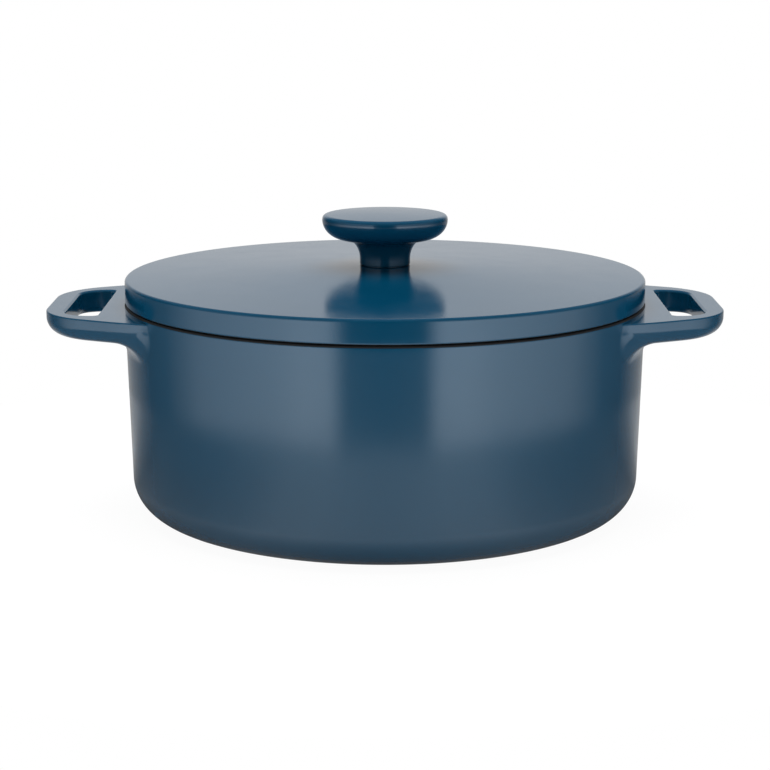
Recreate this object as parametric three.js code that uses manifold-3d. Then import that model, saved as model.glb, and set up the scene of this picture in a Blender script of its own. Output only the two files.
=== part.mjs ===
// Round enamelled cast iron dutch oven with a flat lid, a mushroom knob and two loop handles.
// Millimetres, +Z up. The origin is the centre of the pot's base, and the handles lie along X.
import * as THREE from 'three'
import { mergeVertices } from 'three/addons/utils/BufferGeometryUtils.js'
import Module from 'manifold-3d'

const wasm = await Module()
wasm.setup()

// ---- Driving dimensions ----

// Pot
const rimOuterRadius = 145.3
const wallDraft = 2.7 // how much narrower the wall is at its foot than at the rim
const potHeight = 118.8
const potWall = 4.3
const baseThickness = 5
const baseCornerRadius = 21
const innerCornerRadius = 17
const rimEdgeRadius = 1.2

// Loop handles
const handleSpan = 374.2 // overall, across both handles
const handleDrop = 2.25 // from the rim down to the handles' flat top
const handleThickness = 13.1
const handleRootWidth = 143.2 // where its sides meet the pot's wall
const handleTipWidth = 88 // where the lines of its sides meet the line of its end
const handleSideBulge = 1.5 // how far a side bends out from the straight line between the two
const handleBendShare = 0.28 // how far along that line the bend is
const handleBendRadius = 100
const handleCornerRadius = 42
const handleTopEdgeRadius = 1.5
const handleUndersideInset = 9.8 // how far the rounded underside reaches in from the sides
const handleUndersideRise = 9.4 // and how far up the sides
const handleSideFillet = 2.6
const handleUndersideFillet = 11.5
const gripInset = 10.9 // from the hole to the handle's end
const gripDepth = 20.4 // the hole's size along X
const gripWidth = 87.2
const gripRootCornerRadius = 3
const gripTipCornerRadius = 14.5
const gripTopEdgeRadius = 0.8
const gripUndersideRadius = 2.6

// Lid
const lidSetback = 0.3 // the lid's edge lies this far inside the rim's
const lidEdgeHeight = 13.4
const lidEdgeRadius = 3.1
const lidLowerEdgeRadius = 0.9
const lidShoulderWidth = 20
const lidShoulderRise = 3.2
const lidCrownRise = 2.9
const lidPlate = 4.4
const lidInnerCornerRadius = 9
const ringWidth = 4
const ringDepth = 5
const ringEdgeRadius = 1.2
const bossRadius = 14
const bossHeight = 2

// Knob and its fixing
const knobCapRadius = 35
const knobCapHeight = 14.6
const knobTopFlatRadius = 31
const knobTopRoundHeight = 5
const knobHeight = 27.5 // foot to top
const knobStemRadius = 14.1
const knobNeckRadius = 22.4 // where the cap's underside turns down into the stem
const knobNeckHeight = 11
const knobFootEdgeRadius = 0.7
const knobBoreDepth = 15
const gasketThickness = 0.5
const gasketOuterRadius = 13.3
const screwRadius = 3
const screwHeadRadius = 6
const screwHeadHeight = 4.2
const screwHeadEdgeRadius = 2.2
const screwReach = 13 // how far the screw goes up into the knob
const socketAcrossFlats = 4
const socketDepth = 2.4
const flatWasherRadius = 9
const flatWasherThickness = 1.6
const lockWasherRadius = 5.9
const lockWasherThickness = 1.6
const lockWasherSplit = 1.2

// Clearances
const seatGap = 0.3 // between faces that rest on each other
const ringClearance = 1 // locating ring to the pot's wall
const threadClearance = 0.3 // screw to the knob's threaded hole
const holeClearance = 0.5 // screw to the lid's plain hole, washers and gasket
const filletShare = 0.98 // of an edge, at most, for the two corners at its ends

// Roundness
const bodySegments = 64
const knobSegments = 40
const screwSegments = 24
const cornerSteps = 7
const undersideSteps = 6
const arcSteps = 5
const blendSteps = 5
const smallArcSteps = 3
const edgeSteps = 2
const lidEdgeSteps = 4
// Where the crown's rings are, as shares of its radius: closer together over the shoulder.
const crownRings = [0.3, 0.55, 0.75, 0.86, 0.9, 0.94, 0.97]

// ---- Heights and radii that follow from them ----

const rimInnerRadius = rimOuterRadius - potWall
const lidOuterRadius = rimOuterRadius - lidSetback
const handleTopZ = potHeight - handleDrop
const handleBottomZ = handleTopZ - handleThickness
const handleTipX = handleSpan / 2
const lidSeatZ = potHeight + seatGap
const lidEdgeTopZ = lidSeatZ + lidEdgeHeight
const lidTopZ = lidEdgeTopZ + lidShoulderRise + lidCrownRise
const crownRadius = lidOuterRadius - lidEdgeRadius
const ringOuterRadius = rimInnerRadius - ringClearance
const ringInnerRadius = ringOuterRadius - ringWidth
const lidHoleRadius = screwRadius + holeClearance
const bossZ = lidTopZ - lidPlate - bossHeight
const gasketZ = lidTopZ + seatGap
const knobFootZ = gasketZ + gasketThickness + seatGap
const knobTopZ = knobFootZ + knobHeight
const flatWasherZ = bossZ - seatGap - flatWasherThickness
const lockWasherZ = flatWasherZ - seatGap - lockWasherThickness
const screwHeadZ = lockWasherZ - seatGap

// ---- Helpers ----

const point = (x, y) => new THREE.Vector2(x, y)

// Points of an elliptic arc, from one angle to another in degrees.
function arc(centreX, centreY, radiusX, radiusY, fromAngle, toAngle, steps) {
  const points = []
  for (let i = 0; i <= steps; i++) {
    const angle = THREE.MathUtils.degToRad(fromAngle + ((toAngle - fromAngle) * i) / steps)
    points.push(point(centreX + radiusX * Math.cos(angle), centreY + radiusY * Math.sin(angle)))
  }
  return points
}

// Turns a closed profile of (radius, height) points round the Z axis.
function revolve(profile, segments) {
  return new THREE.LatheGeometry(profile, segments).rotateX(Math.PI / 2)
}

// Skins a stack of closed outlines that all have the same number of points, and caps both ends.
// Each outline is listed anticlockwise as seen from the stack's far end, and place gives a point's
// position in space.
function skin(outlines, place = (spot) => spot.toArray()) {
  const count = outlines[0].length
  const positions = outlines.flatMap((outline) => outline.flatMap((spot) => place(spot)))
  const faces = []
  for (let start = 0; start < (outlines.length - 1) * count; start += count) {
    for (let i = 0; i < count; i++) {
      const a = start + i
      const b = start + ((i + 1) % count)
      faces.push(a, b, b + count, a, b + count, a + count)
    }
  }
  const last = (outlines.length - 1) * count
  for (const [a, b, c] of THREE.ShapeUtils.triangulateShape(outlines[0], [])) {
    faces.push(a, c, b)
  }
  for (const [a, b, c] of THREE.ShapeUtils.triangulateShape(outlines.at(-1), [])) {
    faces.push(last + a, last + b, last + c)
  }
  const geometry = new THREE.BufferGeometry()
  geometry.setAttribute('position', new THREE.Float32BufferAttribute(positions, 3))
  geometry.setIndex(faces)
  return geometry
}

const atHeight = (outline, z) => outline.map(({ x, y }) => new THREE.Vector3(x, y, z))

// A closed geometry as a solid that can be joined and cut.
function solid(geometry) {
  const bare = geometry.clone()
  bare.deleteAttribute('normal')
  bare.deleteAttribute('uv')
  const merged = mergeVertices(bare)
  const corners = merged.index.array
  const triVerts = []
  for (let i = 0; i < corners.length; i += 3) {
    const [a, b, c] = corners.slice(i, i + 3)
    if (a !== b && b !== c && c !== a) triVerts.push(a, b, c)
  }
  return new wasm.Manifold(new wasm.Mesh({
    numProp: 3,
    vertProperties: new Float32Array(merged.attributes.position.array),
    triVerts: new Uint32Array(triVerts),
  }))
}

function geometryOf(body) {
  const mesh = body.getMesh()
  const geometry = new THREE.BufferGeometry()
  geometry.setAttribute('position', new THREE.BufferAttribute(mesh.vertProperties, 3))
  geometry.setIndex(new THREE.BufferAttribute(mesh.triVerts, 1))
  geometry.computeVertexNormals()
  return geometry
}

// A convex outline whose corners are rounded, moved inwards by an inset. Each corner is
// { x, y, radius }, listed anticlockwise, and stays sharp where its radius is 0. Every inset gives
// the same number of points. Where an edge is too short for both its corners, they share it.
function roundedOutline(corners, inset) {
  const count = corners.length
  const edges = corners.map((corner, i) => {
    const next = corners[(i + 1) % count]
    const along = point(next.x - corner.x, next.y - corner.y).normalize()
    const inward = point(-along.y, along.x)
    return { along, inward, origin: point(corner.x, corner.y).addScaledVector(inward, inset) }
  })
  const tips = corners.map((corner, i) => {
    const before = edges[(i + count - 1) % count]
    const after = edges[i]
    const reach = after.origin.clone().sub(before.origin).cross(after.along)
    const tip = before.origin.clone().addScaledVector(before.along, reach / before.along.cross(after.along))
    const turn = Math.acos(before.along.dot(after.along))
    const radius = corner.radius === 0 ? 0 : corner.radius - inset
    return { tip, turn, radius, tangent: radius * Math.tan(turn / 2), before }
  })
  return tips.flatMap(({ tip, turn, radius, tangent, before }, i) => {
    if (radius === 0) return [tip]
    const neighbours = [tips[(i + count - 1) % count], tips[(i + 1) % count]]
    const rooms = neighbours.map((next) => tip.distanceTo(next.tip) / (tangent + next.tangent))
    const fitted = radius * Math.min(1, ...rooms.map((room) => room * filletShare))
    const start = tip.clone().addScaledVector(before.along, -fitted * Math.tan(turn / 2))
    const centre = start.clone().addScaledVector(before.inward, fitted)
    const from = THREE.MathUtils.radToDeg(Math.atan2(-before.inward.y, -before.inward.x))
    return arc(centre.x, centre.y, fitted, fitted, from, from + THREE.MathUtils.radToDeg(turn), cornerSteps)
  })
}

// ---- Pot, with its two loop handles cast on ----

// Outer radius of the wall at a height, which widens evenly from the base corner to the rim.
function wallRadius(z) {
  const share = (potHeight - z) / (potHeight - baseCornerRadius)
  return rimOuterRadius - wallDraft * share
}

// How much nearer the axis the faceted wall is at an angle than at its facets' edges.
function facetShare(angle) {
  const half = Math.PI / bodySegments
  return Math.cos(half) / Math.cos(THREE.MathUtils.euclideanModulo(angle, 2 * half) - half)
}

function potBody() {
  const cornerCentre = wallRadius(baseCornerRadius) - baseCornerRadius
  return solid(revolve([
    point(0, 0),
    ...arc(cornerCentre, baseCornerRadius, baseCornerRadius, baseCornerRadius, -90, 0, cornerSteps),
    ...arc(rimOuterRadius - rimEdgeRadius, potHeight - rimEdgeRadius,
      rimEdgeRadius, rimEdgeRadius, 0, 90, smallArcSteps),
    point(0, potHeight),
  ], bodySegments))
}

function potCavity() {
  const cornerZ = baseThickness + innerCornerRadius
  const cornerCentre = wallRadius(cornerZ) - potWall - innerCornerRadius
  const above = potHeight + handleThickness
  return solid(revolve([
    point(0, baseThickness),
    ...arc(cornerCentre, cornerZ, innerCornerRadius, innerCornerRadius, -90, 0, cornerSteps),
    ...arc(rimInnerRadius + rimEdgeRadius, potHeight - rimEdgeRadius,
      rimEdgeRadius, rimEdgeRadius, 180, 90, smallArcSteps),
    point(rimInnerRadius + rimEdgeRadius, above),
    point(0, above),
  ], bodySegments))
}

// Where the handle's side leaves the wall, seen from above.
function handleRoot() {
  const half = handleRootWidth / 2
  return point(Math.sqrt(rimOuterRadius ** 2 - half ** 2), half)
}

// The handle's corners seen from above. It starts inside the pot, where the cavity cuts it off.
function handleCorners() {
  const root = handleRoot()
  const tip = point(handleTipX, handleTipWidth / 2)
  const chord = tip.clone().sub(root).normalize()
  const bend = root.clone().lerp(tip, handleBendShare)
    .addScaledVector(point(-chord.y, chord.x), handleSideBulge)
  const start = root.clone()
    .addScaledVector(bend.clone().sub(root).normalize(), -potWall - handleUndersideInset)
  const side = [
    { x: tip.x, y: tip.y, radius: handleCornerRadius },
    { x: bend.x, y: bend.y, radius: handleBendRadius },
    { x: start.x, y: start.y, radius: 0 },
  ]
  return [...side.toReversed().map((corner) => ({ ...corner, y: -corner.y })), ...side]
}

// Angle round the pot's axis at which the handle's +Y side, moved inwards by an inset, crosses a
// radius.
function handleSideAngle(radius, inset) {
  const outline = roundedOutline(handleCorners(), inset)
  const outside = outline.findLastIndex((corner) => corner.length() > radius)
  const start = outline[outside + 1]
  const along = outline[outside].clone().sub(start).normalize()
  const lead = start.dot(along)
  const reach = Math.sqrt(lead ** 2 + radius ** 2 - start.lengthSq()) - lead
  return start.clone().addScaledVector(along, reach).angle()
}

// The handle's side from the bottom up, well rounded underneath for the fingers and with a small
// radius at the flat top. Each step has its inset, its height and the way the surface faces.
function handleProfile() {
  const profile = []
  for (let i = 0; i <= undersideSteps; i++) {
    const angle = (Math.PI / 2) * (i / undersideSteps)
    profile.push({
      inset: handleUndersideInset * (1 - Math.sin(angle)),
      z: handleBottomZ + handleUndersideRise * (1 - Math.cos(angle)),
      sideways: Math.sin(angle),
      down: Math.cos(angle),
    })
  }
  for (let i = 0; i <= edgeSteps; i++) {
    const angle = (Math.PI / 2) * (i / edgeSteps)
    profile.push({
      inset: handleTopEdgeRadius * (1 - Math.cos(angle)),
      z: handleTopZ - handleTopEdgeRadius * (1 - Math.sin(angle)),
      sideways: 1,
      down: 0,
    })
  }
  return profile
}

function handleSlab() {
  const corners = handleCorners()
  return solid(skin(handleProfile().map(({ inset, z }) => atHeight(roundedOutline(corners, inset), z))))
}

// The section that the blend at the handle's root follows: up one side, down the other, and back
// across the underside. Each point has its share of the handle's width and its own fillet. The
// points across start on the edges of the wall's facets, so that the blend lies close to them.
function blendProfile() {
  const side = handleProfile().map((step) => ({
    ...step,
    share: 1,
    fillet: handleSideFillet + (handleUndersideFillet - handleSideFillet) * step.down,
  }))
  const otherSide = side.toReversed().map((step) => ({ ...step, share: -1 }))
  const underside = []
  const facet = (2 * Math.PI) / bodySegments
  const foot = wallRadius(handleBottomZ - handleUndersideFillet)
  const corner = handleSideAngle(foot, handleUndersideInset)
  const across = Math.ceil(corner / facet) - 1
  for (let i = -across; i <= across; i++) {
    underside.push({ ...side[0], share: (i * facet) / corner })
  }
  return [...side, ...otherSide, ...underside]
}

// The blend between the handle and the wall. It is skinned outwards from inside the wall, through
// sections that hug the wall. Each point of a section goes its own quarter circle, from standing
// off the handle's side by its fillet to standing off the wall by it.
function handleBlend() {
  const stages = [{ turn: 0, out: -potWall / 2, in: 0 }]
  for (let i = 0; i < blendSteps; i++) {
    stages.push({ turn: (Math.PI / 2) * (i / blendSteps), out: 0, in: 0 })
  }
  stages.push({ turn: Math.PI / 2, out: seatGap, in: seatGap })
  const profile = blendProfile()
  const outlines = stages.map((stage) => profile.map(({ inset, z, sideways, down, share, fillet }) => {
    const swell = fillet * (1 - Math.sin(stage.turn)) - stage.in
    const distance = fillet * (1 - Math.cos(stage.turn)) + stage.out
    const height = z - swell * down
    const radius = wallRadius(height) + distance
    const angle = share * (handleSideAngle(radius, inset) + (swell * sideways) / radius)
    return new THREE.Vector3(angle, height, radius * facetShare(angle))
  }))
  return solid(skin(outlines, ({ x: angle, y: height, z: radius }) => (
    [radius * Math.cos(angle), radius * Math.sin(angle), height]
  )))
}

// The finger hole, rounded at both edges. It starts below the blend, which hangs down a little
// under the hole's inner side.
function gripHole() {
  const outerX = handleTipX - gripInset
  const innerX = outerX - gripDepth
  const halfWidth = gripWidth / 2
  const corners = [
    { x: innerX, y: -halfWidth, radius: gripRootCornerRadius },
    { x: outerX, y: -halfWidth, radius: gripTipCornerRadius },
    { x: outerX, y: halfWidth, radius: gripTipCornerRadius },
    { x: innerX, y: halfWidth, radius: gripRootCornerRadius },
  ]
  const flare = (growth, z) => atHeight(roundedOutline(corners, -growth), z)
  const outlines = [flare(gripUndersideRadius, handleBottomZ - gripUndersideRadius)]
  for (let i = 0; i <= smallArcSteps; i++) {
    const angle = (Math.PI / 2) * (i / smallArcSteps)
    outlines.push(flare(
      gripUndersideRadius * (1 - Math.sin(angle)),
      handleBottomZ + gripUndersideRadius * (1 - Math.cos(angle)),
    ))
  }
  for (let i = 0; i <= edgeSteps; i++) {
    const angle = (Math.PI / 2) * (i / edgeSteps)
    outlines.push(flare(
      gripTopEdgeRadius * (1 - Math.cos(angle)),
      handleTopZ - gripTopEdgeRadius * (1 - Math.sin(angle)),
    ))
  }
  outlines.push(flare(gripTopEdgeRadius, handleTopZ + seatGap))
  return solid(skin(outlines))
}

function potGeometry() {
  const handle = handleSlab().add(handleBlend()).subtract(gripHole())
  const otherHandle = handle.rotate([0, 0, 180])
  return geometryOf(potBody().add(handle).add(otherHandle).subtract(potCavity()))
}

// ---- Lid ----

// Height of the lid's top face: a very flat crown that falls faster over the shoulder.
function crownZ(radius) {
  const shoulderStart = crownRadius - lidShoulderWidth
  const past = Math.max(radius - shoulderStart, 0) / lidShoulderWidth
  return lidTopZ - lidCrownRise * (radius / crownRadius) ** 2 - lidShoulderRise * past ** 2
}

function lidGeometry() {
  const radii = crownRings.map((share) => share * crownRadius)
  const innerCorner = ringInnerRadius - lidInnerCornerRadius
  const innerCornerZ = crownZ(innerCorner) - lidPlate
  const underside = radii.filter((radius) => radius < innerCorner)
  const profile = [
    point(lidHoleRadius, bossZ),
    point(bossRadius, bossZ),
    point(bossRadius + bossHeight, crownZ(bossRadius + bossHeight) - lidPlate),
    ...underside.map((radius) => point(radius, crownZ(radius) - lidPlate)),
    ...arc(innerCorner, innerCornerZ - lidInnerCornerRadius,
      lidInnerCornerRadius, lidInnerCornerRadius, 90, 0, arcSteps),
    point(ringInnerRadius, lidSeatZ - ringDepth + ringEdgeRadius),
    point(ringInnerRadius + ringEdgeRadius, lidSeatZ - ringDepth),
    point(ringOuterRadius - ringEdgeRadius, lidSeatZ - ringDepth),
    point(ringOuterRadius, lidSeatZ - ringDepth + ringEdgeRadius),
    point(ringOuterRadius, lidSeatZ),
    ...arc(lidOuterRadius - lidLowerEdgeRadius, lidSeatZ + lidLowerEdgeRadius,
      lidLowerEdgeRadius, lidLowerEdgeRadius, -90, 0, edgeSteps),
    ...arc(crownRadius, lidEdgeTopZ - lidEdgeRadius, lidEdgeRadius, lidEdgeRadius, 0, 90, lidEdgeSteps),
    ...radii.toReversed().map((radius) => point(radius, crownZ(radius))),
    point(lidHoleRadius, crownZ(lidHoleRadius)),
    point(lidHoleRadius, bossZ),
  ]
  return geometryOf(solid(revolve(profile, bodySegments)))
}

// ---- Knob and its fixing ----

function knobGeometry() {
  const boreRadius = screwRadius + threadClearance
  const capBottomZ = knobTopZ - knobCapHeight
  const widestZ = knobTopZ - knobTopRoundHeight
  const profile = [
    point(0, knobFootZ + knobBoreDepth + boreRadius / 2),
    point(boreRadius, knobFootZ + knobBoreDepth),
    point(boreRadius, knobFootZ),
    point(knobStemRadius - knobFootEdgeRadius, knobFootZ),
    point(knobStemRadius, knobFootZ + knobFootEdgeRadius),
    ...arc(knobNeckRadius, capBottomZ - knobNeckHeight,
      knobNeckRadius - knobStemRadius, knobNeckHeight, 180, 90, cornerSteps),
    ...arc(knobNeckRadius, widestZ,
      knobCapRadius - knobNeckRadius, widestZ - capBottomZ, -90, 0, cornerSteps).slice(1),
    ...arc(knobTopFlatRadius, widestZ,
      knobCapRadius - knobTopFlatRadius, knobTopRoundHeight, 0, 90, arcSteps).slice(1),
    point(0, knobTopZ),
  ]
  return geometryOf(solid(revolve(profile, knobSegments)))
}

// A flat ring, such as a washer or a gasket.
function ringGeometry(innerRadius, outerRadius, bottomZ, thickness) {
  return revolve([
    point(innerRadius, bottomZ),
    point(outerRadius, bottomZ),
    point(outerRadius, bottomZ + thickness),
    point(innerRadius, bottomZ + thickness),
    point(innerRadius, bottomZ),
  ], screwSegments)
}

// Rounded head below, plain shank above, with a hexagon socket in the head.
function screwGeometry() {
  const headBottomZ = screwHeadZ - screwHeadHeight
  const edgeCentre = screwHeadRadius - screwHeadEdgeRadius
  const body = solid(revolve([
    point(0, headBottomZ),
    ...arc(edgeCentre, headBottomZ + screwHeadEdgeRadius,
      screwHeadEdgeRadius, screwHeadEdgeRadius, -90, 0, arcSteps),
    point(screwHeadRadius, screwHeadZ),
    point(screwRadius, screwHeadZ),
    point(screwRadius, knobFootZ + screwReach - screwRadius / 3),
    point(screwRadius * 2 / 3, knobFootZ + screwReach),
    point(0, knobFootZ + screwReach),
  ], screwSegments))
  const socket = new THREE.CylinderGeometry(
    socketAcrossFlats / Math.sqrt(3), socketAcrossFlats / Math.sqrt(3), socketDepth * 2, 6,
  ).rotateX(Math.PI / 2).translate(0, 0, headBottomZ)
  return geometryOf(body.subtract(solid(socket)))
}

// A spring washer: a ring with a slanted split through one side.
function lockWasherGeometry() {
  const ring = solid(ringGeometry(lidHoleRadius, lockWasherRadius, lockWasherZ, lockWasherThickness))
  const split = new THREE.BoxGeometry(lockWasherRadius * 2, lockWasherSplit, lockWasherThickness * 3)
    .rotateX(THREE.MathUtils.degToRad(25))
    .translate(lockWasherRadius, 0, lockWasherZ + lockWasherThickness / 2)
  return geometryOf(ring.subtract(solid(split)))
}

// ---- Materials ----

const enamel = new THREE.MeshStandardMaterial({ color: 0x1f4e6b, roughness: 0.28, metalness: 0 })
const steel = new THREE.MeshStandardMaterial({ color: 0xb9bcc0, roughness: 0.35, metalness: 1 })
const gasketBlack = new THREE.MeshStandardMaterial({ color: 0x15171a, roughness: 0.8, metalness: 0 })

// ---- Assembly ----

function part(name, geometry, material) {
  const mesh = new THREE.Mesh(geometry, material)
  mesh.name = name
  return mesh
}

const lidAssembly = new THREE.Group()
lidAssembly.add(
  part('lid', lidGeometry(), enamel),
  part('knob', knobGeometry(), enamel),
  part('knob_gasket', ringGeometry(lidHoleRadius, gasketOuterRadius, gasketZ, gasketThickness), gasketBlack),
  part('knob_screw', screwGeometry(), steel),
  part('flat_washer', ringGeometry(lidHoleRadius, flatWasherRadius, flatWasherZ, flatWasherThickness), steel),
  part('lock_washer', lockWasherGeometry(), steel),
)

const dutchOven = new THREE.Group()
dutchOven.add(part('pot', potGeometry(), enamel), lidAssembly)

export default dutchOven
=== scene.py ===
# %% [markdown]
# # A round dutch oven in blue enamel
#
# This lesson gives a packed dutch oven its looks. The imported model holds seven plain, faceted
# pieces: the pot, the lid, the knob, and the screw, washers and gasket that hold the knob. A
# glossy enamel shows every facet, so each piece is modelled again here, finer and in the same
# place. The oven keeps its overall size. The lid's top is up to 3.3 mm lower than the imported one,
# the knob's foot reaches lower, and some edges are rounder or crisper.
#
# The frame is loaded first, because every size and place below is read from it.

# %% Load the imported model
import math

import bmesh
import bpy
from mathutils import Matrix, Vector


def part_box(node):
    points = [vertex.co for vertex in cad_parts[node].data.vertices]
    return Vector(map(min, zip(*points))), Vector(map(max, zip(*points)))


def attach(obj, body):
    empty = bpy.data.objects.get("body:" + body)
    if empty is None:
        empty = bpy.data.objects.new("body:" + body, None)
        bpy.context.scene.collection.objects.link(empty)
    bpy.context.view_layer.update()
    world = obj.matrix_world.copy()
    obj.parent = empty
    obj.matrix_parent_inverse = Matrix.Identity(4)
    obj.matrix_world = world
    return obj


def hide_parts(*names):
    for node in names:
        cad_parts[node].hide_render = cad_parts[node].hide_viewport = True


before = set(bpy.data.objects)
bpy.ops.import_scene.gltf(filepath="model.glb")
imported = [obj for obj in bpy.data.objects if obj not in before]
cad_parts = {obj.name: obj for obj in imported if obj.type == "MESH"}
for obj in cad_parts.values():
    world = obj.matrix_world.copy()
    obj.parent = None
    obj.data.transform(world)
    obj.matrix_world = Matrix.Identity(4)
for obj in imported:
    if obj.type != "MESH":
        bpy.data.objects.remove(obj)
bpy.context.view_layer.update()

# %% [markdown]
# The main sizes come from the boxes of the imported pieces, in metres. What a box can't tell, such
# as a wall's thickness or the radius of an edge, is written beside them in millimetres, which is
# how a foundry would give it, and turned into metres by one factor.

# %% Measure the pieces
MM = 0.001
pot_box, lid_box, knob_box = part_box("pot"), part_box("lid"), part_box("knob")
rim_radius = pot_box[1].y
rim_height = pot_box[1].z
handle_tip = pot_box[1].x
lid_radius = lid_box[1].y
lid_top = lid_box[1].z
knob_foot, knob_top = knob_box[0].z, knob_box[1].z
knob_radius = knob_box[1].y
print(f"rim {rim_radius / MM:.1f} mm in radius at {rim_height / MM:.1f} mm, lid top at {lid_top / MM:.1f} mm")

# %% [markdown]
# Most of this object is round. A potter or a machinist would turn it, and Blender's Spin does the
# same: a profile is drawn on one side of the axis and carried round it. The profile is drawn as by
# hand. A plane is merged to one vertex, the vertex is moved to the start, and it is extruded from
# point to point. Spinning leaves doubles where the ends meet and on the axis, so they are merged,
# and then the faces are made to point outwards.

# %% A helper for turned pieces
def alone(piece):
    """Makes one object the only selected one, and the active one."""
    bpy.ops.object.select_all(action="DESELECT")
    piece.select_set(True)
    bpy.context.view_layer.objects.active = piece


def arc(centre, radii, start, end, steps):
    """Points of an elliptic arc round a centre, from one angle to another in degrees."""
    points = []
    for step in range(steps + 1):
        angle = math.radians(start + (end - start) * step / steps)
        points.append((centre[0] + radii[0] * math.cos(angle), centre[1] + radii[1] * math.sin(angle)))
    return points


def drawn(name, points):
    """Draws a line through points: one vertex, extruded from each to the next. It stays in edit mode."""
    bpy.ops.object.select_all(action="DESELECT")
    bpy.ops.mesh.primitive_plane_add(size=MM)
    piece = bpy.context.active_object
    piece.name = piece.data.name = name
    bpy.ops.object.mode_set(mode="EDIT")
    bpy.ops.mesh.select_mode(type="VERT")
    bpy.ops.mesh.merge(type="CENTER")
    bpy.ops.transform.translate(value=points[0])
    for here, there in zip(points, points[1:]):
        step = tuple(b - a for a, b in zip(here, there))
        bpy.ops.mesh.extrude_region_move(TRANSFORM_OT_translate={"value": step})
    return piece


def turned(name, profile, segments):
    """Draws a profile of (radius, height) points and spins it round the Z axis."""
    piece = drawn(name, [(radius, 0, height) for radius, height in profile])
    bpy.ops.mesh.select_all(action="SELECT")
    bpy.ops.mesh.spin(steps=segments, angle=2 * math.pi, center=(0, 0, 0), axis=(0, 0, 1))
    bpy.ops.mesh.select_all(action="SELECT")
    bpy.ops.mesh.remove_doubles(threshold=MM / 100)
    bpy.ops.mesh.normals_make_consistent(inside=False)
    bpy.ops.object.mode_set(mode="OBJECT")
    print(f"{name}: {len(piece.data.polygons)} faces")
    return piece


def apply_modifier(piece, kind, **settings):
    """Adds a modifier, sets it up and applies it."""
    alone(piece)
    modifier = piece.modifiers.new(kind.title(), kind)
    for setting, value in settings.items():
        setattr(modifier, setting, value)
    bpy.ops.object.modifier_apply(modifier=modifier.name)


def smooth(piece, degrees=30):
    """Shades a piece smooth up to an angle, with its large faces leading the shading."""
    alone(piece)
    bpy.ops.object.shade_smooth_by_angle(angle=math.radians(degrees))
    apply_modifier(piece, "WEIGHTED_NORMAL", keep_sharp=True, weight=80)

# %% [markdown]
# ## The pot
#
# The pot is a thick, slightly tapered wall on a flat base, with a large round corner between them
# and a smaller one inside. It could be a cylinder with insets and bevels, but a profile gives
# every radius exactly. The long straight walls are drawn in short steps, because the handles are
# joined on later, and a joint between small faces shades more cleanly than one in a long strip.

# %% Model the pot's body
wall = 4.3 * MM
base = 5 * MM
base_corner = 21 * MM
inner_corner = 17 * MM
rim_edge, inner_rim_edge = 1.5 * MM, 1.2 * MM
draft = 2.7 * MM


def wall_radius(height):
    """Outer radius of the tapered wall at a height."""
    return rim_radius - draft * (rim_height - height) / (rim_height - base_corner)


def straight(start, end, steps):
    """Points between two ends of a straight line, without the ends."""
    return [
        tuple(a + (b - a) * step / steps for a, b in zip(start, end))
        for step in range(1, steps)
    ]


def pot_profile():
    corner = wall_radius(base_corner) - base_corner
    inner_z = base + inner_corner
    inner = wall_radius(inner_z) - wall - inner_corner
    outside = arc((corner, base_corner), (base_corner, base_corner), -90, 0, 18)
    rim = arc((rim_radius - rim_edge, rim_height - rim_edge), (rim_edge, rim_edge), 0, 90, 6)
    inner_rim = (rim_radius - wall + inner_rim_edge, rim_height - inner_rim_edge)
    rim += arc(inner_rim, (inner_rim_edge, inner_rim_edge), 90, 180, 6)
    inside = arc((inner, inner_z), (inner_corner, inner_corner), 0, -90, 16)
    return [
        (0, 0), (corner * 0.6, 0), (corner - MM, 0), *outside,
        *straight(outside[-1], rim[0], 34), *rim,
        *straight(rim[-1], inside[0], 30), *inside,
        (inner - MM, base), (inner * 0.6, base), (0, base),
    ]


pot = turned("pot_casting", pot_profile(), 256)

# %% [markdown]
# ## The loop handles
#
# Each handle is a flat plate with an oblong finger hole, cast in one with the pot. Seen from above
# its sides run out from the wall, bend a little, and turn through round corners into a straight
# end. Its top is flat, and underneath it is rounded well up its sides, so that it lies easily in
# the hand.
#
# The outline is drawn with sharp corners, which are then beveled as vertices, because that rounds
# an outline. It is filled, extruded down, and its edges are beveled. The underside is rounder up
# the side than across, and a bevel is the same both ways, so the plate is made too thin at first,
# beveled, and then stretched to its thickness.

# %% Helpers for the handles
def select(piece, kind, test):
    """In edit mode, selects only the vertices, edges or faces that pass a test."""
    bpy.ops.mesh.select_mode(type=kind)
    bpy.ops.mesh.select_all(action="DESELECT")
    mesh = bmesh.from_edit_mesh(piece.data)
    for part in {"VERT": mesh.verts, "EDGE": mesh.edges, "FACE": mesh.faces}[kind]:
        if test(part):
            part.select_set(True)
    bmesh.update_edit_mesh(piece.data)


def plate(name, corners, height):
    """Draws a closed outline of (x, y) corners at a height and fills it. It stays in edit mode."""
    piece = drawn(name, [(x, y, height) for x, y in corners + corners[:1]])
    bpy.ops.mesh.select_all(action="SELECT")
    bpy.ops.mesh.remove_doubles(threshold=MM / 100)
    bpy.ops.mesh.edge_face_add()
    return piece


corner_profile = 0.535


def round_corners(piece, test, radius, turn, segments):
    """Bevels the corners of an outline that pass a test. The outline turns by an angle at each."""
    select(piece, "VERT", test)
    reach = radius * math.tan(turn / 2)
    bpy.ops.mesh.bevel(
        offset=reach, segments=segments, profile=corner_profile, affect="VERTICES", clamp_overlap=False,
    )


def bevel_level(piece, height, radius, segments):
    """Bevels the edges that lie at one height."""
    level = lambda edge: all(abs(vertex.co.z - height) < MM / 100 for vertex in edge.verts)
    select(piece, "EDGE", level)
    bpy.ops.mesh.bevel(offset=radius, segments=segments, profile=0.5, affect="EDGES")

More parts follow.
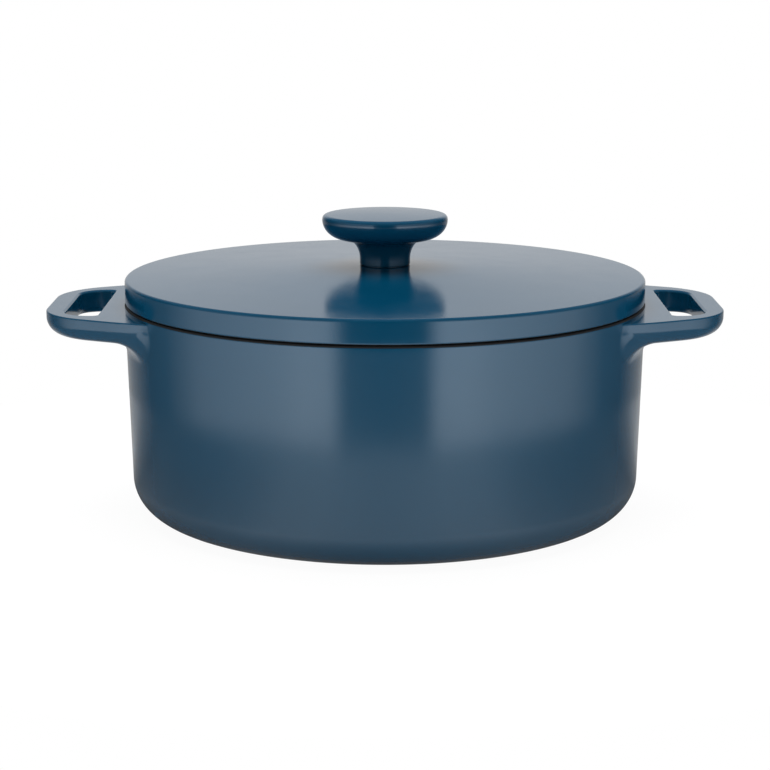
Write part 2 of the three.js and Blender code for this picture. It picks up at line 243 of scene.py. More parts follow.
# %% Draw the outline of a handle
handle_top = rim_height - 2.25 * MM
root_half = 71.6 * MM
tip_half = 44 * MM
corner_radius = 42 * MM
bend_share = 0.28
bend_bulge = 1.5 * MM
bend_radius = 100 * MM

root = Vector((math.sqrt(rim_radius**2 - root_half**2), root_half))
tip = Vector((handle_tip, tip_half))
sideways = Vector((root.y - tip.y, tip.x - root.x)).normalized()
bend = root.lerp(tip, bend_share) + sideways * bend_bulge
start = root + (root - bend).normalized() * 20 * MM
side_turns = [(root - bend).angle_signed(bend - tip), (bend - tip).angle_signed(Vector((0, 1)))]

half_outline = [tuple(start), tuple(bend), tuple(tip)]
other_half = [(x, -y) for x, y in reversed(half_outline)]
handle = plate("handle_casting", half_outline + other_half, handle_top)
at_tip = lambda vertex: vertex.co.x > handle_tip - MM
at_bend = lambda vertex: abs(vertex.co.x - bend.x) < MM / 10
round_corners(handle, at_tip, corner_radius, abs(side_turns[1]), 28)
round_corners(handle, at_bend, bend_radius, abs(side_turns[0]), 8)
filled = bmesh.from_edit_mesh(handle.data)
filled.faces.ensure_lookup_table()
outline = [Vector(vertex.co[:2]) for vertex in filled.faces[0].verts]
angles = [round(math.degrees(turn), 1) for turn in side_turns]
print(f"outline of {len(outline)} points, turning {angles} degrees")

# %% Give the plate its thickness and its rounded edges
handle_thickness = 13.1 * MM
handle_bottom = handle_top - handle_thickness
underside_inset = 9.8 * MM
underside_rise = 9.4 * MM
top_edge = 0.8 * MM
stretch = underside_rise / underside_inset
thin = handle_thickness / stretch

bpy.ops.mesh.select_all(action="SELECT")
bpy.ops.mesh.extrude_region_move(TRANSFORM_OT_translate={"value": (0, 0, -thin)})
bpy.ops.mesh.select_all(action="SELECT")
bpy.ops.mesh.normals_make_consistent(inside=False)
bevel_level(handle, handle_top - thin, underside_inset, 14)
bevel_level(handle, handle_top, top_edge, 5)
bpy.ops.mesh.select_all(action="SELECT")
bpy.ops.transform.resize(value=(1, 1, stretch), center_override=(0, 0, handle_top))
bpy.ops.object.mode_set(mode="OBJECT")
print(f"plate: {len(handle.data.polygons)} faces")

# %% [markdown]
# Where the handle meets the wall, the casting flares out in a hollow fillet, small at the sides
# and wide below. A bevel can't make it, because it would have to run across the many faces of the
# round wall. It is built like a collar instead: a ring in the shape of the handle's own section,
# lying on the wall, is extruded again and again. Each new ring is reshaped to stand a little
# further from the wall and a little less wide, so that the rings follow a quarter circle.
#
# Every ring bends with the wall, so the collar leaves the wall smoothly all round. To know where
# the handle's side stands at a distance from the wall, its outline is moved inwards by as much as
# the section is there, and crossed with a circle.

# %% Find where the handle's side stands
def moved_in(points, inset):
    """A closed outline with each of its edges moved inwards."""
    area = sum(here.cross(there) for here, there in zip(points, points[1:] + points[:1]))
    inset = math.copysign(inset, area)
    moved = []
    for before, here, after in zip(points[-1:] + points[:-1], points, points[1:] + points[:1]):
        first, second = (here - before).normalized(), (after - here).normalized()
        lean = first.orthogonal() + second.orthogonal()
        moved.append(here + lean * inset / (1 + first.dot(second)))
    return moved


def side_angle(radius, inset):
    """Angle round the pot at which the handle's side, moved inwards, crosses a radius."""
    points = moved_in(outline, inset)
    for here, there in zip(points, points[1:] + points[:1]):
        near, far = sorted((here, there), key=lambda point: point.length)
        if near.y > 0 and near.length <= radius < far.length:
            step = far - near
            reach = near.dot(step)
            room = radius**2 - near.length_squared
            share = (math.sqrt(reach**2 + step.length_squared * room) - reach) / step.length_squared
            crossing = near + step * share
            return math.atan2(crossing.y, crossing.x)


def handle_section():
    """One side of the handle's section from the bottom up: inset, height and facing."""
    section = []
    for step in range(13):
        angle = math.pi / 2 * step / 12
        across = underside_inset * (1 - math.sin(angle))
        up = handle_bottom + underside_rise * (1 - math.cos(angle))
        section.append((across, up, math.sin(angle), math.cos(angle)))
    for step in range(5):
        angle = math.pi / 2 * step / 4
        across = top_edge * (1 - math.cos(angle))
        up = handle_top - top_edge * stretch * (1 - math.sin(angle))
        section.append((across, up, 1, 0))
    return section

# %% [markdown]
# The fillet is small at the sides and more than 11 mm below, where the handle carries the weight.
# It ends before the finger hole. Each point of a ring has its own fillet, and the point goes its
# own quarter circle.

# %% Model the fillet at the handle's root
side_fillet = 2.6 * MM
bottom_fillet = 11.5 * MM
collar_steps = 14
bottom_steps = 24
root_flange = 2.5 * MM
collar_overlap = 0.6 * MM


def collar_point(share, fillet, way, inset, height, sideways, down):
    """A point of the collar, from way 0 on the wall to way 1 on the handle."""
    angle = math.pi / 2 * min(max(way, 0), 1)
    swell = fillet * (1 - math.sin(angle))
    distance = fillet * (1 - math.cos(angle))
    if way < 0:
        swell += root_flange
        distance += way * wall / 2
    if way > 1:
        swell -= collar_overlap
        distance += collar_overlap
    z = height - swell * down
    radius = wall_radius(z) + distance
    turn = share * (side_angle(radius, inset) + swell * sideways / radius)
    return radius * math.cos(turn), radius * math.sin(turn), z


def collar_ring(way):
    """The ring of the collar at one stage of the way from the wall to the handle."""
    section = [
        (side_fillet + (bottom_fillet - side_fillet) * point[3], *point)
        for point in handle_section()
    ]
    ring = [collar_point(1, fillet, way, *point) for fillet, *point in section]
    ring += [collar_point(-1, fillet, way, *point) for fillet, *point in reversed(section)]
    for step in range(1, bottom_steps):
        share = 2 * step / bottom_steps - 1
        ring.append(collar_point(share, bottom_fillet, way, underside_inset, handle_bottom, 0, 1))
    return ring


def lofted(name, rings):
    """Builds a solid by extruding a ring of vertices through a list of rings of points."""
    bpy.ops.object.select_all(action="DESELECT")
    bpy.ops.mesh.primitive_circle_add(vertices=len(rings[0]), fill_type="NOTHING")
    piece = bpy.context.active_object
    piece.name = piece.data.name = name
    bpy.ops.object.mode_set(mode="EDIT")
    for number, ring in enumerate(rings):
        if number:
            bpy.ops.mesh.extrude_edges_move(TRANSFORM_OT_translate={"value": (0, 0, 0)})
        mesh = bmesh.from_edit_mesh(piece.data)
        fresh = sorted((vertex for vertex in mesh.verts if vertex.select), key=lambda vertex: vertex.index)
        for vertex, place in zip(fresh, ring):
            vertex.co = place
        bmesh.update_edit_mesh(piece.data)
    bpy.ops.mesh.edge_face_add()
    bpy.ops.mesh.select_all(action="DESELECT")
    bpy.ops.mesh.select_non_manifold()
    bpy.ops.mesh.edge_face_add()
    bpy.ops.mesh.select_all(action="SELECT")
    bpy.ops.mesh.normals_make_consistent(inside=False)
    bpy.ops.object.mode_set(mode="OBJECT")
    print(f"{name}: {len(piece.data.polygons)} faces")
    return piece


ways = [-1, -0.02, *(step / collar_steps for step in range(collar_steps + 1)), 1.1]
collar = lofted("root_collar", [collar_ring(way) for way in ways])

# %% [markdown]
# The collar is joined to the plate, and the finger hole is cut through both with a Boolean. The
# hole's edges are round too, a little above and more below. The cutter carries that rounding: it
# is a stack of rings that grows wider towards both of its ends, as the bell of a trumpet does.

# %% Cut the finger hole
def join(piece, other, operation):
    """Joins another solid to a piece, or cuts it away, and removes the other."""
    apply_modifier(piece, "BOOLEAN", operation=operation, object=other, solver="EXACT")
    bpy.data.objects.remove(other)


grip_outer = handle_tip - 11.6 * MM
grip_inner = grip_outer - 19 * MM
grip_half = 42.9 * MM
grip_outer_corner = 14.5 * MM
grip_inner_corner = 3 * MM
grip_top_edge = 1.6 * MM
grip_bottom_edge = 2.8 * MM
grip_bottom_rise = 1.2
cutter_below, cutter_above = 5 * MM, 2 * MM


def hole_ring(growth, height):
    """The outline of the finger hole at a height, wider all round by a growth."""
    outer, inner = grip_outer_corner + growth, grip_inner_corner + growth
    outer_x, outer_y = grip_outer - grip_outer_corner, grip_half - grip_outer_corner
    inner_x, inner_y = grip_inner + grip_inner_corner, grip_half - grip_inner_corner
    points = arc((outer_x, outer_y), (outer, outer), 0, 90, 16)
    points += arc((inner_x, inner_y), (inner, inner), 90, 180, 8)
    points += arc((inner_x, -inner_y), (inner, inner), 180, 270, 8)
    points += arc((outer_x, -outer_y), (outer, outer), 270, 360, 16)
    return [(x, y, height) for x, y in points]


rings = [hole_ring(grip_bottom_edge, handle_bottom - cutter_below)]
for step in range(9):
    angle = math.pi / 2 * step / 8
    height = handle_bottom + grip_bottom_rise * grip_bottom_edge * (1 - math.cos(angle))
    rings.append(hole_ring(grip_bottom_edge * (1 - math.sin(angle)), height))
for step in range(7):
    angle = math.pi / 2 * step / 6
    height = handle_top - grip_top_edge * (1 - math.sin(angle))
    rings.append(hole_ring(grip_top_edge * (1 - math.cos(angle)), height))
rings.append(hole_ring(grip_top_edge, handle_top + cutter_above))

join(handle, collar, "UNION")
join(handle, lofted("finger_hole", rings), "DIFFERENCE")
print(f"handle with its hole: {len(handle.data.polygons)} faces")

# %% [markdown]
# The handle's inner end still reaches into the pot, so it is trimmed by a cylinder that stops
# inside the wall's thickness. The second handle is a copy with its own mesh, turned half a turn,
# and both are joined to the pot.

# %% Join the handles to the pot
bpy.ops.object.select_all(action="DESELECT")
bpy.ops.mesh.primitive_cylinder_add(
    vertices=256, radius=rim_radius - wall * 0.6, depth=rim_height, location=(0, 0, handle_top),
)
join(handle, bpy.context.active_object, "DIFFERENCE")
alone(handle)
bpy.ops.object.duplicate()
other_handle = bpy.context.active_object
bpy.ops.object.mode_set(mode="EDIT")
bpy.ops.mesh.select_all(action="SELECT")
bpy.ops.transform.rotate(value=math.pi, orient_axis="Z", center_override=(0, 0, 0))
bpy.ops.object.mode_set(mode="OBJECT")
join(pot, handle, "UNION")
join(pot, other_handle, "UNION")
print(f"pot with handles: {len(pot.data.polygons)} faces")

# %% [markdown]
# ## The lid
#
# The lid looks flat, but it falls a few millimetres from the knob to its edge, which is an upright
# band with a crisp upper edge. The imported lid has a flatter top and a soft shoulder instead. The
# knob sits on a low round seat. Underneath, a ring drops inside the pot's rim, and a low boss round
# the screw hole makes room for the washers. It is turned in one from a closed profile.

# %% Model the lid
lid_seat = rim_height + 0.3 * MM
edge_top = lid_seat + 13.2 * MM
edge_radius, lower_edge = 1.7 * MM, 1.2 * MM
lid_plate = 4.4 * MM
crown_radius = lid_radius - edge_radius
seat_radius, seat_rise = 13 * MM, 0.4 * MM
crown_sag = 0.1
hole_radius = 3.5 * MM
boss_radius, boss_height, boss_fillet = 14 * MM, 2 * MM, 2 * MM
boss_z = lid_top - lid_plate - boss_height


def crown(radius):
    """Height of the lid's top at a radius."""
    if radius <= seat_radius:
        return lid_top
    past = (radius - seat_radius) / (crown_radius - seat_radius)
    fallen = (1 + crown_sag) * past - crown_sag * past**2
    return lid_top - seat_rise - (lid_top - seat_rise - edge_top) * fallen


def lid_profile():
    clearance, ring_width, ring_depth = MM, 4 * MM, 5 * MM
    ring_outer = rim_radius - wall - clearance
    ring_inner = ring_outer - ring_width
    ring_z = lid_seat - ring_depth
    soft = 1.2 * MM
    hollow = 9 * MM
    turn_in = ring_inner - hollow
    under_radii = [18, 24, 36, 50, 65, 80, 95, 108, 115, 119, 122, 124, 126]
    top_radii = [
        3.5, 8, 12.4, 13, 13.01, 13.6, 16, 18.5, 21, 25, 31, 38, 46, 55, 65, 76, 88, 100, 111, 121,
        130, 137, 141,
    ]
    under_radii = [radius * MM for radius in under_radii if radius * MM < turn_in]
    top_radii = [radius * MM for radius in reversed(top_radii) if radius * MM < crown_radius]
    under = [(radius, crown(radius) - lid_plate) for radius in under_radii]
    top = [(radius, crown(radius)) for radius in top_radii]
    boss_root = (boss_radius + boss_fillet, crown(boss_radius) - lid_plate - boss_fillet)
    return [
        (hole_radius, boss_z), *arc((boss_radius - soft, boss_z + soft), (soft, soft), -90, 0, 5),
        *arc(boss_root, (boss_fillet, boss_fillet), 180, 90, 5),
        *under,
        *arc((turn_in, crown(turn_in) - lid_plate - hollow), (hollow, hollow), 90, 0, 12),
        *arc((ring_inner + soft, ring_z + soft), (soft, soft), 180, 270, 5),
        *arc((ring_outer - soft, ring_z + soft), (soft, soft), -90, 0, 5),
        (ring_outer, lid_seat),
        *arc((lid_radius - lower_edge, lid_seat + lower_edge), (lower_edge, lower_edge), -90, 0, 5),
        (lid_radius, lid_seat + 4 * MM), (lid_radius, edge_top - edge_radius - 2 * MM),
        *arc((crown_radius, edge_top - edge_radius), (edge_radius, edge_radius), 0, 87, 10),
        *top, (hole_radius, boss_z),
    ]


lid = turned("lid_casting", lid_profile(), 256)

# %% [markdown]
# ## The knob
#
# The knob is a mushroom in the same enamel: a slightly domed top that turns down in a full corner
# to its widest point, then draws in under the hand to a waisted stem. Its curves are pieces of
# ellipses, the corner's a fuller one, and a plain hole takes the screw from below. The foot has a
# thin skirt that hangs round the gasket without touching it.

# %% Model the knob
knob_widest = knob_top - 3.8 * MM
cap_bottom = knob_top - 14.6 * MM
cap_crown = 31.7 * MM
cap_rise = 0.8 * MM
cap_fullness = 2.5
neck, neck_height = 22.4 * MM, 11 * MM
stem = 14.1 * MM
bore, bore_depth, bore_tip = 3.3 * MM, 15 * MM, 16 * MM
skirt, foot_edge = lid_top - seat_rise + 0.3 * MM, 0.5 * MM
skirt_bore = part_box("knob_gasket")[1].y + 0.1 * MM


def rounded(centre, radii, start, end, steps, power):
    """Points of a superellipse's arc. A power over 2 makes its corner fuller than an ellipse's."""
    points = []
    for step in range(steps + 1):
        angle = math.radians(start + (end - start) * step / steps)
        across, up = math.cos(angle), math.sin(angle)
        across = math.copysign(abs(across) ** (2 / power), across)
        up = math.copysign(abs(up) ** (2 / power), up)
        points.append((centre[0] + radii[0] * across, centre[1] + radii[1] * up))
    return points


cap_corner = (knob_radius - cap_crown, knob_top - cap_rise - knob_widest)
dome_shares = (0.95, 0.85, 0.7, 0.5, 0.3, 0.15, 0)
knob = turned("knob_turning", [
    (0, knob_foot + bore_tip), (bore, knob_foot + bore_depth), (bore, knob_foot),
    (skirt_bore, knob_foot), (skirt_bore, skirt),
    *arc((stem - foot_edge, skirt + foot_edge), (foot_edge, foot_edge), -90, 0, 4),
    *arc((neck, cap_bottom - neck_height), (neck - stem, neck_height), 180, 90, 20),
    *arc((neck, knob_widest), (knob_radius - neck, knob_widest - cap_bottom), -90, 0, 22)[1:],
    *rounded((cap_crown, knob_widest), cap_corner, 0, 90, 18, cap_fullness)[1:],
    *((cap_crown * share, knob_top - cap_rise * share**2) for share in dome_shares),
], 192)

# %% [markdown]
# ## What holds the knob
#
# A thin black gasket, hidden by the knob's skirt, keeps the knob off the lid. From below come a
# spring washer, a flat washer and a screw with a round head and a hexagon socket. They are small
# turned pieces, each with its edges softened in the profile, and only the socket and the washer's
# slanted split are cut.

# %% Model the gasket, the washers and the screw
def washer(name, inner, soft, segments):
    """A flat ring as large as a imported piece, with softened edges."""
    low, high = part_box(name)
    outer = high.y
    return turned(name + "_turning", [
        (inner, low.z), *arc((outer - soft, low.z + soft), (soft, soft), -90, 0, 3),
        *arc((outer - soft, high.z - soft), (soft, soft), 0, 90, 3),
        (inner, high.z), (inner, low.z),
    ], segments)


gasket = washer("knob_gasket", hole_radius, 0.15 * MM, 96)
flat_washer = washer("flat_washer", hole_radius, 0.25 * MM, 96)
lock_washer = washer("lock_washer", hole_radius, 0.2 * MM, 96)

screw_low, screw_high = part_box("knob_screw")
head_top = screw_low.z + 4.2 * MM
head_radius = screw_high.y
dome = 2.2 * MM
shank_radius, tip_radius, chamfer = 3 * MM, 2 * MM, MM
screw = turned("screw_turning", [
    (0, screw_low.z), (head_radius - dome, screw_low.z),
    *arc((head_radius - dome, screw_low.z + dome), (dome, dome), -90, 0, 8)[1:],
    (head_radius, head_top), (shank_radius, head_top), (shank_radius, screw_high.z - chamfer),
    (tip_radius, screw_high.z), (0, screw_high.z),
], 96)

# %% Cut the socket and the split
key_size, cutter_length = 4 * MM, 4.8 * MM
split_angle = math.radians(25)
split_size = (12 * MM, 1.2 * MM, 5 * MM)

bpy.ops.object.select_all(action="DESELECT")
bpy.ops.mesh.primitive_cylinder_add(
    vertices=6, radius=key_size / math.sqrt(3), depth=cutter_length, location=(0, 0, screw_low.z),
)
join(screw, bpy.context.active_object, "DIFFERENCE")
lock_low, lock_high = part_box("lock_washer")
bpy.ops.mesh.primitive_cube_add(size=1)
split = bpy.context.active_object
bpy.ops.object.mode_set(mode="EDIT")
bpy.ops.transform.resize(value=split_size)
bpy.ops.transform.rotate(value=split_angle, orient_axis="X", center_override=(0, 0, 0))
bpy.ops.transform.translate(value=(lock_high.x, 0, (lock_low.z + lock_high.z) / 2))
bpy.ops.object.mode_set(mode="OBJECT")
join(lock_washer, split, "DIFFERENCE")

# %% [markdown]
# ## Materials
#
# Enamel is coloured glass fused to the iron. Its colour lies under a clear, hard gloss, and the
# surface is never quite flat: it has a very fine orange peel and slow waves, and it dulls a
# little here and there. One group of noises, read from Object coordinates, drives all three. The
# bump is fractions of a millimetre high, because on a gloss a stronger one looks like hammered
# metal.

# %% Make the enamel
def node(material, kind, **inputs):
    """Adds a shader node and sets its plain inputs."""
    made = material.node_tree.nodes.new(kind)
    for name, value in inputs.items():
        made.inputs[name.replace("_", " ")].default_value = value
    return made


def principled(name, **inputs):
    """A new material, its node tree and its main shader, with plain inputs set on the shader."""
    material = bpy.data.materials.new(name)
    material.use_nodes = True
    shader = material.node_tree.nodes["Principled BSDF"]
    for key, value in inputs.items():
        shader.inputs[key.replace("_", " ")].default_value = value
    return material, shader


def link(material, start, output, end, socket):
    material.node_tree.links.new(start.outputs[output], end.inputs[socket])


def noise(material, scale, detail=2.0):
    """A noise over the piece's own coordinates, where a scale of 100 is a pattern of 10 mm."""
    place = node(material, "ShaderNodeTexCoord")
    pattern = node(material, "ShaderNodeTexNoise", Scale=scale, Detail=detail, Roughness=0.5)
    link(material, place, "Object", pattern, "Vector")
    return pattern


def vary(material, pattern, low, high):
    """Spreads a pattern between two values."""
    spread = node(material, "ShaderNodeMapRange")
    for socket, value in zip(("From Min", "From Max", "To Min", "To Max"), (0.3, 0.7, low, high)):
        spread.inputs[socket].default_value = value
    link(material, pattern, "Fac", spread, "Value")
    return spread


def bumps(material, shader, layers):
    """Stacks bumps of (noise scale, height in metres) on a shader."""
    below = None
    for scale, height in layers:
        bump = node(material, "ShaderNodeBump", Strength=1.0, Distance=height)
        link(material, noise(material, scale), "Fac", bump, "Height")
        if below:
            link(material, below, "Normal", bump, "Normal")
        below = bump
    link(material, below, "Normal", shader, "Normal")


def enamel(name, dark, light, roughness, layers, **gloss):
    """A glossy enamel whose colour drifts between two tones."""
    material, shader = principled(name, **gloss)
    tone = node(material, "ShaderNodeMix")
    tone.data_type = "RGBA"
    tone.inputs["A"].default_value = (*dark, 1)
    tone.inputs["B"].default_value = (*light, 1)
    link(material, vary(material, noise(material, 14), 0, 1), "Result", tone, "Factor")
    material.node_tree.links.new(tone.outputs[2], shader.inputs["Base Color"])
    link(material, vary(material, noise(material, 45), *roughness), "Result", shader, "Roughness")
    bumps(material, shader, layers)
    return material


blue_enamel = enamel(
    "blue_enamel", (0.001, 0.060, 0.125), (0.001, 0.064, 0.135), (0.115, 0.15),
    [(9, 0.025 * MM), (1300, 0.025 * MM)], IOR=1.6, Specular_Tint=(0.75, 0.87, 1, 1),
)
inner_enamel = enamel(
    "cream_enamel", (0.62, 0.57, 0.47), (0.66, 0.61, 0.51), (0.14, 0.22),
    [(9, 0.06 * MM), (260, 0.004 * MM)], IOR=1.5,
)
rim_enamel = enamel(
    "matt_black_enamel", (0.006, 0.006, 0.007), (0.010, 0.010, 0.011), (0.55, 0.68),
    [(900, 0.02 * MM)], IOR=1.5,
)

# %% [markdown]
# The screw and washers are stainless steel, turned on a lathe, which leaves fine rings round the
# axis. A wave texture in rings gives them as bump and as bands of roughness. The gasket is black
# silicone, matt and a little uneven.

# %% Make the steel and the silicone
steel, shader = principled("turned_steel", Base_Color=(0.56, 0.57, 0.58, 1), Metallic=1.0)
rings_of_tool = node(steel, "ShaderNodeTexWave", Scale=1100, Distortion=1.2, Detail=2.0)
rings_of_tool.wave_type = "RINGS"
rings_of_tool.rings_direction = "Z"
link(steel, node(steel, "ShaderNodeTexCoord"), "Object", rings_of_tool, "Vector")
link(steel, vary(steel, rings_of_tool, 0.24, 0.38), "Result", shader, "Roughness")
tool_marks = node(steel, "ShaderNodeBump", Strength=0.4, Distance=0.02 * MM)
link(steel, rings_of_tool, "Fac", tool_marks, "Height")
link(steel, tool_marks, "Normal", shader, "Normal")

silicone, shader = principled("black_silicone", Base_Color=(0.012, 0.012, 0.013, 1), IOR=1.42)
link(silicone, vary(silicone, noise(silicone, 300), 0.5, 0.7), "Result", shader, "Roughness")
bumps(silicone, shader, [(1500, 0.02 * MM)])

# %% [markdown]
# The pot is blue outside and cream inside, with a matt black rim under the lid, where glossy
# enamel would chip. The lid is blue above and cream below in the same way. A piece can carry
# several materials, and each face takes one by its place.

# %% Dress the pieces
def dress(piece, materials, choose):
    """Gives a piece its materials, and each face the one whose index choose returns."""
    piece.data.materials.clear()
    for material in materials:
        piece.data.materials.append(material)
    for face in piece.data.polygons:
        face.material_index = choose(face)


def pot_finish(face):
    x, y, z = face.center
    reach = math.hypot(x, y)
    if face.normal.z > 0.25 and z > rim_height - rim_edge:
        return 2
    faces_in = face.normal.x * x + face.normal.y * y < 0 or face.normal.z > 0.5
    return 1 if faces_in and reach < wall_radius(z) - wall * 0.5 else 0


def lid_finish(face):
    x, y, z = face.center
    reach = math.hypot(x, y)
    if reach > rim_radius - wall - 0.9 * MM and z < lid_seat + 0.5 * MM:
        return 2
    return 1 if z < crown(reach) - lid_plate * 0.5 and reach < rim_radius - wall else 0


dress(pot, [blue_enamel, inner_enamel, rim_enamel], pot_finish)
dress(lid, [blue_enamel, inner_enamel, rim_enamel], lid_finish)
dress(knob, [blue_enamel], lambda face: 0)
dress(gasket, [silicone], lambda face: 0)
for piece in (screw, flat_washer, lock_washer):
    dress(piece, [steel], lambda face: 0)
for piece in (pot, lid, knob, gasket, screw, flat_washer, lock_washer):
    smooth(piece)

# %% [markdown]
# ## Bodies
#
# The pot stands still, and the lid lifts off with its knob and all that holds it. Each imported
# piece is hidden, and the piece that stands for it is put on the body it rides on.

# %% Hide the imported pieces and put the new ones on their bodies
for piece, stands_for, body, slot in (
    (pot, "pot", "pot", "pot_enamel"),
    (lid, "lid", "lid", "lid_enamel"),
    (knob, "knob", "lid", "knob_enamel"),
    (gasket, "knob_gasket", "lid", "gasket"),
    (screw, "knob_screw", "lid", "fixing_steel"),
    (flat_washer, "flat_washer", "lid", "fixing_steel"),
    (lock_washer, "lock_washer", "lid", "fixing_steel"),
):
    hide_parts(stands_for)
    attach(piece, body)

# %% [markdown]
# ## The studio
#
# The pot stands on a round white table in a white studio. A gloss shows what is round it, so the
# studio is planned by what the enamel should mirror. The wall mirrors what lies a little below
# the horizon: the table close by, and past its edge two broad soft boxes that stand low on both
# sides of the camera, with a dark gap between them where the camera is. The lid and the handles'
# tops mirror the pale backdrop.
#
# This isn't a plain studio. What the enamel mirrors is drawn for it, and differs from the white
# that the camera sees, so under other light the oven looks different.
#
# To draw such light, a ring of brightness is set up by azimuth, from straight ahead of the pot
# round to straight behind it, and both sides are the same. A colour ramp holds the levels.

# %% Helpers for the light
def wired(tree, kind, operation=None, *values):
    """Adds a node to a tree, with numbers or other nodes' outputs on its sockets."""
    made = tree.nodes.new(kind)
    if operation:
        made.operation = operation
    for socket, value in zip(made.inputs, values):
        if isinstance(value, (int, float)):
            socket.default_value = value
        elif value is not None:
            tree.links.new(value, socket)
    return made.outputs[0]


def turned_from_front(tree, axes):
    """Azimuth as a share of half a turn: 0 straight ahead, 1 straight behind."""
    sideways_on = wired(tree, "ShaderNodeMath", "ABSOLUTE", axes.outputs["X"])
    ahead = wired(tree, "ShaderNodeMath", "MULTIPLY", axes.outputs["Y"], -1.0)
    azimuth = wired(tree, "ShaderNodeMath", "ARCTAN2", sideways_on, ahead)
    return wired(tree, "ShaderNodeMath", "DIVIDE", azimuth, math.pi)


def ring_of_light(tree, turn_share, levels):
    """Brightness round the pot, from pairs of azimuth in degrees and level."""
    ramp = tree.nodes.new("ShaderNodeValToRGB")
    tree.links.new(turn_share, ramp.inputs["Fac"])
    stops = ramp.color_ramp.elements
    while len(stops) < len(levels):
        stops.new(1)
    for stop, (degrees, level) in zip(stops, levels):
        stop.position = degrees / 180
        stop.color = (level, level, level, 1)
    return ramp.outputs["Color"]


def smooth_step(tree, value, start, end, low=0, high=1):
    """Goes smoothly from one level to another between two values."""
    spread = tree.nodes.new("ShaderNodeMapRange")
    spread.interpolation_type = "SMOOTHSTEP"
    tree.links.new(value, spread.inputs["Value"])
    for socket, number in zip(("From Min", "From Max", "To Min", "To Max"), (start, end, low, high)):
        spread.inputs[socket].default_value = number
    return spread.outputs["Result"]

# %% [markdown]
# The table is white to the camera, and keeps a part of its own shading, which holds the shadow
# under the pot. In reflections it glows with painted light instead of that white: bright in
# front, dim beside the pot and behind it, and a painted shadow close to the foot.

# %% Set the table
bpy.ops.object.select_all(action="DESELECT")
bpy.ops.mesh.primitive_circle_add(vertices=128, radius=0.37, fill_type="NGON", location=(0, 0, -0.0002))
table = bpy.context.active_object
table.name = "table"

# the table's material: white to the camera, painted light and painted shadow in reflections
table_white_painted_light, shader = principled("table_white_painted_light", Base_Color=(0.8, 0.8, 0.8, 1), Roughness=0.8)
table.data.materials.append(table_white_painted_light)
path = node(table_white_painted_light, "ShaderNodeLightPath")
plain_white = node(table_white_painted_light, "ShaderNodeEmission", Strength=1.06)
tree = table_white_painted_light.node_tree
share = wired(tree, "ShaderNodeMath", "MULTIPLY", path.outputs["Is Camera Ray"], 0.9)
seen = wired(tree, "ShaderNodeMixShader", None, share, shader.outputs["BSDF"], plain_white.outputs[0])

place = node(table_white_painted_light, "ShaderNodeTexCoord").outputs["Object"]
axes = node(table_white_painted_light, "ShaderNodeSeparateXYZ")
tree.links.new(place, axes.inputs[0])
# painted light: the levels the table shows in reflections, round the pot by azimuth
painted_table_light = ring_of_light(tree, turned_from_front(tree, axes), [
    (0, 1.15), (10, 1.2), (20, 1.3), (32, 1.2), (45, 0.8), (60, 0.5), (75, 0.33), (100, 0.17), (112, 0.3),
    (122, 0.5), (180, 0.5),
])
reach = tree.nodes.new("ShaderNodeVectorMath")
reach.operation = "LENGTH"
tree.links.new(place, reach.inputs[0])
# painted shadow: the table's reflection darkens close to the pot's foot
painted_foot_shadow = smooth_step(tree, reach.outputs["Value"], 0.125, 0.175, 0.12, 1)
# the painted reflection glows with these painted levels
painted_reflection = node(table_white_painted_light, "ShaderNodeEmission")
tree.links.new(painted_table_light, painted_reflection.inputs["Color"])
tree.links.new(painted_foot_shadow, painted_reflection.inputs["Strength"])
# glossy rays see the painted light and painted shadow, the camera sees the white
whole = wired(tree, "ShaderNodeMixShader", None, path.outputs["Is Glossy Ray"], seen, painted_reflection.outputs[0])
tree.links.new(whole, tree.nodes["Material Output"].inputs["Surface"])

# %% [markdown]
# The room and the boxes are drawn in the world by direction, as four rings that blend by height:
# one for the floor, one just below the horizon, one above it, and one overhead.

# %% Light the room
world = bpy.data.worlds.new("studio")
bpy.context.scene.world = world
world.use_nodes = True
room = world.node_tree
room.nodes.clear()
direction = room.nodes.new("ShaderNodeTexCoord")
axes = room.nodes.new("ShaderNodeSeparateXYZ")
room.links.new(direction.outputs["Generated"], axes.inputs[0])
turn_share = turned_from_front(room, axes)


def blend_by_height(low, high, start, end):
    """Changes from one ring to another between two elevations in degrees."""
    start, end = (math.sin(math.radians(angle)) for angle in (start, end))
    mix = room.nodes.new("ShaderNodeMix")
    mix.data_type = "RGBA"
    room.links.new(smooth_step(room, axes.outputs["Z"], start, end), mix.inputs["Factor"])
    room.links.new(low, mix.inputs[6])
    room.links.new(high, mix.inputs[7])
    return mix.outputs[2]


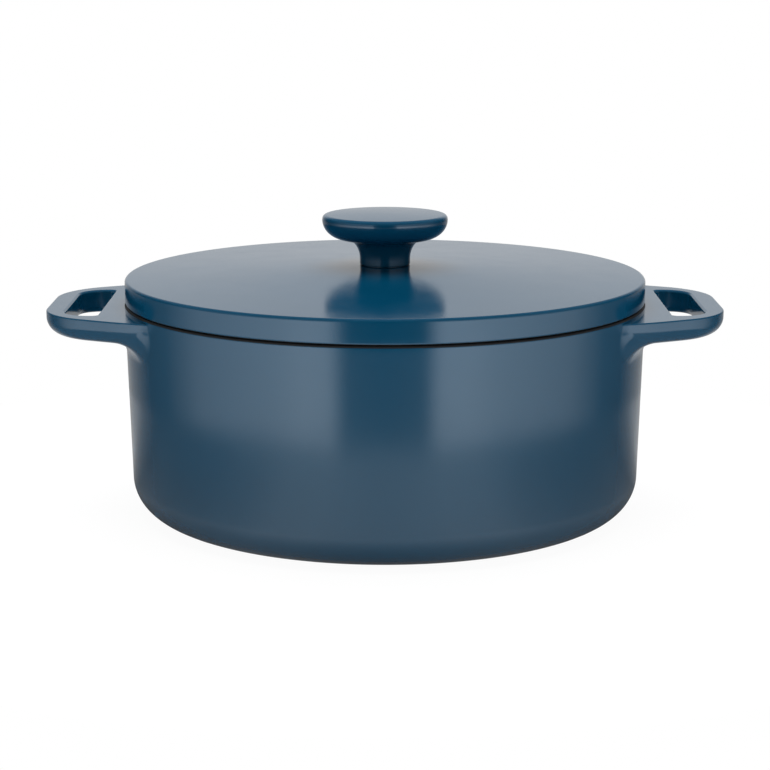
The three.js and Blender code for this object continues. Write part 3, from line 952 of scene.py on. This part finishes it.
boxes = [
    (24, 2.6), (36, 2.6), (50, 2.1), (65, 1.75), (88, 1.1), (98, 0.6), (110, 0.2), (126, 0.1), (142, 0.3),
    (160, 0.4), (180, 0.45),
]
floor = ring_of_light(room, turn_share, [(0, 0.5), (17, 0.6), *boxes])
below = ring_of_light(room, turn_share, [(0, 0), (17, 0.06), *boxes])
above = ring_of_light(room, turn_share, [
    (0, 0), (17, 0.1), (24, 0.9), (60, 0.65), (90, 0.3), (110, 0.05), (135, 0.05), (150, 0.35), (163, 0.68),
    (174, 0.7), (180, 0.66),
])
overhead = ring_of_light(room, turn_share, [(0, 0.15), (90, 0.2), (180, 0.25)])
light = blend_by_height(floor, below, -15.5, -11)
light = blend_by_height(light, above, -7, -3)
light = blend_by_height(light, overhead, 20, 34)
around = room.nodes.new("ShaderNodeBackground")
room.links.new(light, around.inputs["Color"])
backdrop = room.nodes.new("ShaderNodeBackground")
backdrop.inputs["Color"].default_value = (1, 1, 1, 1)
ray = room.nodes.new("ShaderNodeLightPath")
whole = wired(
    room, "ShaderNodeMixShader", None, ray.outputs["Is Camera Ray"], around.outputs[0],
    backdrop.outputs[0],
)
output = room.nodes.new("ShaderNodeOutputWorld")
room.links.new(whole, output.inputs["Surface"])

# %% [markdown]
# A wide soft lamp overhead gives the colour of the upward faces and the shadow under the pot. It
# is left out of the reflections, so that the lid doesn't show it.

# %% Hang the overhead lamp
bpy.ops.object.light_add(type="AREA", location=(0, 0.2, 1.6))
overhead_lamp = bpy.context.active_object
overhead_lamp.name = "overhead_lamp"
overhead_lamp.data.shape = "DISK"
overhead_lamp.data.size = 1.8
overhead_lamp.data.energy = 28
overhead_lamp.visible_camera = False
overhead_lamp.visible_glossy = False

# %% [markdown]
# The camera stands a little over a metre in front and looks slightly down, through a long lens
# that keeps the pot's sides nearly upright.

# %% Place the camera
lens = bpy.data.cameras.new("camera")
lens.sensor_width = 36
lens.lens = 101.363
lens.clip_start = 0.01
camera = bpy.data.objects.new("camera", lens)
camera.location = (0, -1.20226, 0.31936)
camera.rotation_euler = (math.pi / 2 - 0.20528, 0, 0)
bpy.context.scene.collection.objects.link(camera)
bpy.context.scene.camera = camera
bpy.context.scene.view_settings.view_transform = "Standard"
